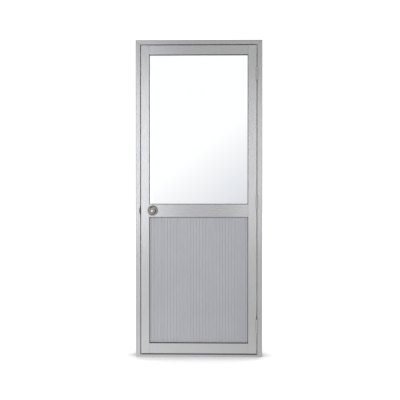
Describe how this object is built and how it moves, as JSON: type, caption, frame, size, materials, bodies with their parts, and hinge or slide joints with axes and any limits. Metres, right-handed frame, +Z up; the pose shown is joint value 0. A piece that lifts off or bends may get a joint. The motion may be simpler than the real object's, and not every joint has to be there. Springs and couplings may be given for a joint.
{
  "type": "aluminium door set",
  "caption": "Half-glazed aluminium door with a ribbed lower panel, hung on butt hinges in its own aluminium frame, with a round knob lock.",
  "frame": {"origin": "middle of the sill's underside, at floor level, half way through the frame's depth", "axes": "+X to the hinge side, right as seen from the side the door opens towards; +Y away from that side; +Z up"},
  "size_m": [0.8, 0.17, 2],
  "materials": {
    "frame_aluminium": "satin anodised",
    "leaf_aluminium": "satin anodised",
    "panel_aluminium": "satin anodised",
    "glass": "clear",
    "gasket_rubber": "matt",
    "steel": "satin",
    "hinge_steel": "satin"
  },
  "bodies": {
    "frame": {"frame_head": "frame_aluminium", "frame_latch_jamb": "frame_aluminium", "frame_hinge_jamb": "frame_aluminium", "sill": "frame_aluminium", "head_stop": "frame_aluminium", "latch_stop": "frame_aluminium", "hinge_stop": "frame_aluminium", "sill_stop": "frame_aluminium", "strike_plate": "steel", "top_hinge_frame_plate": "hinge_steel", "top_hinge_pin": "hinge_steel", "middle_hinge_frame_plate": "hinge_steel", "middle_hinge_pin": "hinge_steel", "bottom_hinge_frame_plate": "hinge_steel", "bottom_hinge_pin": "hinge_steel"},
    "leaf": {"latch_stile": "leaf_aluminium", "hinge_stile": "leaf_aluminium", "top_rail": "leaf_aluminium", "lock_rail": "leaf_aluminium", "bottom_rail": "leaf_aluminium", "glass_pane": "glass", "glass_gasket": "gasket_rubber", "panel_gasket": "gasket_rubber", "front_rose": "steel", "back_rose": "steel", "lock_body": "steel", "latch_case": "steel", "latch_bolt": "steel", "panel_board_1": "panel_aluminium", "panel_board_2": "panel_aluminium", "panel_board_3": "panel_aluminium", "panel_board_4": "panel_aluminium", "panel_board_5": "panel_aluminium", "panel_board_6": "panel_aluminium", "panel_board_7": "panel_aluminium", "top_hinge_leaf_plate": "hinge_steel", "middle_hinge_leaf_plate": "hinge_steel", "bottom_hinge_leaf_plate": "hinge_steel"},
    "knob": {"front_knob": "steel", "back_knob": "steel", "key_cylinder": "steel", "lock_button": "steel", "knob_spindle": "steel"}
  },
  "joints": [
    {"name": "leaf_swing", "type": "hinge", "parent": "frame", "child": "leaf", "pos_m": [0.3656, -0.058, 0], "axis": [0, 0, 1], "range_deg": [0, 170]},
    {"name": "knob_turn", "type": "hinge", "parent": "leaf", "child": "knob", "pos_m": [-0.2917, -0.03, 0.9245], "axis": [0, 1, 0], "range_deg": [-60, 60], "stiffness_Nm_per_rad": 0.6}
  ]
}
